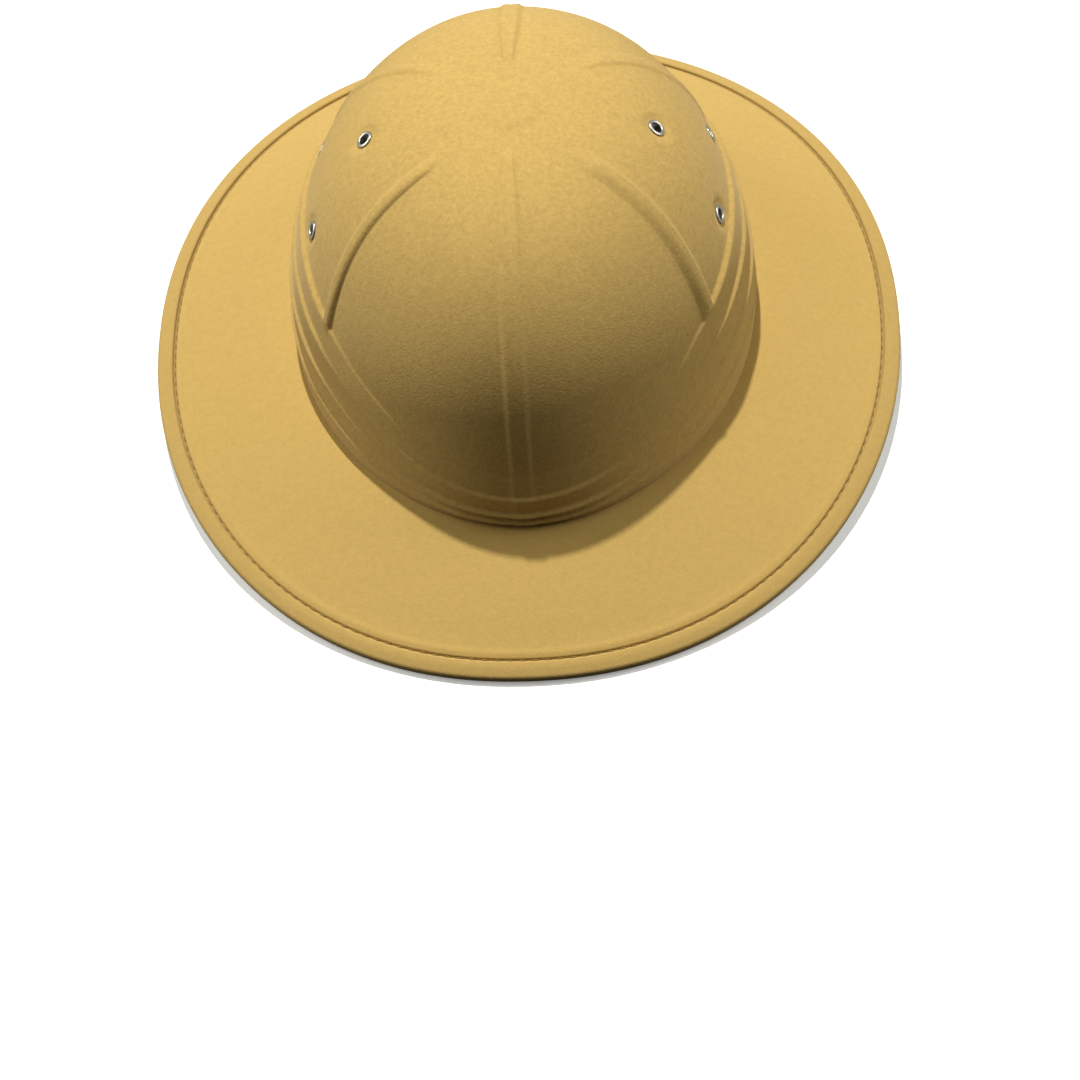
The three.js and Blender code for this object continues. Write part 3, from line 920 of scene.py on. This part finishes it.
NICKEL_DULL = (0.34, 0.325, 0.28, 1)
NICKEL_BRIGHT = (0.56, 0.545, 0.49, 1)
NICKEL_ROUGHNESS = (0.22, 0.42)
TARNISH_SCALE = 900
TARNISH_DETAIL = 3


def two_tone(tree, scale, detail, tones):
    """Two colours mixed by a noise for the tree's shader. Gives back the noise."""
    place = add_node(tree, "ShaderNodeTexCoord")
    grain = add_node(tree, "ShaderNodeTexNoise")
    grain.inputs["Scale"].default_value = scale
    grain.inputs["Detail"].default_value = detail
    tree.links.new(place.outputs["Object"], grain.inputs["Vector"])
    colour = add_node(tree, "ShaderNodeMix", data_type="RGBA")
    colour.inputs["A"].default_value, colour.inputs["B"].default_value = tones
    tree.links.new(grain.outputs["Fac"], colour.inputs["Factor"])
    tree.links.new(colour.outputs["Result"], tree.nodes["Principled BSDF"].inputs["Base Color"])
    return grain.outputs["Fac"]


def nickel_material():
    material = bpy.data.materials.new("eyelet_nickel")
    material.use_nodes = True
    tree = material.node_tree
    shader = tree.nodes["Principled BSDF"]
    tarnish = two_tone(tree, TARNISH_SCALE, TARNISH_DETAIL, (NICKEL_DULL, NICKEL_BRIGHT))
    rough = add_node(tree, "ShaderNodeMapRange")
    rough.inputs["To Min"].default_value = NICKEL_ROUGHNESS[0]
    rough.inputs["To Max"].default_value = NICKEL_ROUGHNESS[1]
    tree.links.new(tarnish, rough.inputs["Value"])
    tree.links.new(rough.outputs[0], shader.inputs["Roughness"])
    shader.inputs["Metallic"].default_value = 1
    return material


eyelet_nickel = nickel_material()
for node, (seat, normal) in eyelet_seats().items():
    ring = make_eyelet(f"nickel_{node}", seat, normal)
    ring.data.materials.append(eyelet_nickel)
    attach(ring, "root")
    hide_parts(node)


# The table, the lights and the camera
# A pale matt table top. One small lamp stands high in front of the hat, a little to the left.
# Four wide soft boxes light its sides and leave the back dim. The camera looks down from behind.

TABLE_RADIUS = 6000
TABLE_SIDES = 96
TABLE_BELOW_HAT = 0.3
TABLE_TONES = ((0.92, 0.92, 0.92, 1), (0.95, 0.95, 0.945, 1))
TABLE_GRAIN_SCALE = 3
TABLE_GRAIN_DETAIL = 2
TABLE_ROUGHNESS = 0.9
TABLE_GLOW = 0.25


def make_table():
    bpy.ops.mesh.primitive_circle_add(
        vertices=TABLE_SIDES,
        radius=TABLE_RADIUS * MM,
        fill_type="NGON",
        location=(0, 0, -TABLE_BELOW_HAT * MM),
    )
    table = bpy.context.object
    table.name = "table_top"
    material = bpy.data.materials.new("pale_table")
    material.use_nodes = True
    shader = material.node_tree.nodes["Principled BSDF"]
    two_tone(material.node_tree, TABLE_GRAIN_SCALE, TABLE_GRAIN_DETAIL, TABLE_TONES)
    shader.inputs["Roughness"].default_value = TABLE_ROUGHNESS
    shader.inputs["Emission Color"].default_value = (1, 1, 1, 1)
    shader.inputs["Emission Strength"].default_value = TABLE_GLOW
    table.data.materials.append(material)
    table.visible_diffuse = False
    table.visible_glossy = False


LAMP_TARGET = (0, 0, 0.06)
LAMP_WHITE = (1, 1, 0.98)
BOX_WHITE = (1, 0.98, 0.88)
BOX_DISTANCE = 2.0


def make_lamp(name, turn, climb, size, power, distance=BOX_DISTANCE, colour=BOX_WHITE):
    """A round lamp that shines on the hat. Its size, distance and target are in metres.

    turn is degrees from straight ahead of the wearer towards their left, climb is degrees up.
    """
    lamp = bpy.data.lights.new(name, "AREA")
    lamp.shape = "DISK"
    lamp.size = size
    lamp.energy = power
    lamp.color = colour
    holder = bpy.data.objects.new(name, lamp)
    bpy.context.scene.collection.objects.link(holder)
    turn, climb = math.radians(turn), math.radians(climb)
    level = distance * math.cos(climb)
    holder.location = (level * math.sin(turn), -level * math.cos(turn), distance * math.sin(climb))
    towards_hat = Vector(LAMP_TARGET) - holder.location
    holder.rotation_euler = towards_hat.to_track_quat("-Z", "Y").to_euler()


def make_room(fill, mirrored, seen):
    """A dim room that metal mirrors as grey. The camera sees it as pale as the table."""
    world = bpy.data.worlds.new("room")
    bpy.context.scene.world = world
    world.use_nodes = True
    tree = world.node_tree
    tree.nodes.clear()
    ray = add_node(tree, "ShaderNodeLightPath")
    out = add_node(tree, "ShaderNodeOutputWorld")
    shades = []
    for grey in (fill, mirrored, seen):
        shade = add_node(tree, "ShaderNodeBackground")
        shade.inputs["Color"].default_value = (grey, grey, grey, 1)
        shades.append(shade.outputs[0])
    in_metal = add_node(tree, "ShaderNodeMixShader")
    tree.links.new(ray.outputs["Is Glossy Ray"], in_metal.inputs[0])
    tree.links.new(shades[0], in_metal.inputs[1])
    tree.links.new(shades[1], in_metal.inputs[2])
    in_camera = add_node(tree, "ShaderNodeMixShader")
    tree.links.new(ray.outputs["Is Camera Ray"], in_camera.inputs[0])
    tree.links.new(in_metal.outputs[0], in_camera.inputs[1])
    tree.links.new(shades[2], in_camera.inputs[2])
    tree.links.new(in_camera.outputs[0], out.inputs["Surface"])


CAMERA_CLIMB = 53.89
CAMERA_SWING = 3.97
CAMERA_ROLL = -5.21
CAMERA_DISTANCE = 1199.1
CAMERA_ASIDE = (-5.8, 92.3)
CAMERA_LENS = 103.07
CAMERA_SENSOR = 36


def make_camera():
    """The camera stands behind the wearer and looks down. back points from the hat towards it."""
    climb, swing, roll = (math.radians(a) for a in (CAMERA_CLIMB, CAMERA_SWING, CAMERA_ROLL))
    reach = math.cos(climb)
    back = Vector((-math.sin(swing) * reach, math.cos(swing) * reach, math.sin(climb)))
    level = Vector((-math.cos(swing), -math.sin(swing), 0))
    upright = back.cross(level)
    right = level * math.cos(roll) + upright * math.sin(roll)
    up = upright * math.cos(roll) - level * math.sin(roll)
    lens = bpy.data.cameras.new("camera")
    lens.lens = CAMERA_LENS
    lens.sensor_width = CAMERA_SENSOR
    holder = bpy.data.objects.new("camera", lens)
    bpy.context.scene.collection.objects.link(holder)
    place = back * CAMERA_DISTANCE - right * CAMERA_ASIDE[0] - up * CAMERA_ASIDE[1]
    place = (place + Vector((0, 0, FOOT_ABOVE_TABLE))) * MM
    turned = Matrix((right, up, back)).transposed().to_4x4()
    holder.matrix_world = Matrix.Translation(place) @ turned
    bpy.context.scene.camera = holder


make_table()
make_lamp("front_lamp", turn=10, climb=69.6, size=0.22, power=382, distance=6, colour=LAMP_WHITE)
make_lamp("left_low_box", turn=72, climb=30, size=1.2, power=17.5)
make_lamp("left_high_box", turn=104, climb=50, size=1.3, power=8.5)
make_lamp("right_high_box", turn=-74, climb=38, size=1.3, power=12)
make_lamp("right_low_box", turn=-84, climb=28, size=1.3, power=11)
make_room(fill=0.02, mirrored=0.45, seen=0.95)
make_camera()
bpy.context.scene.view_settings.view_transform = "Standard"
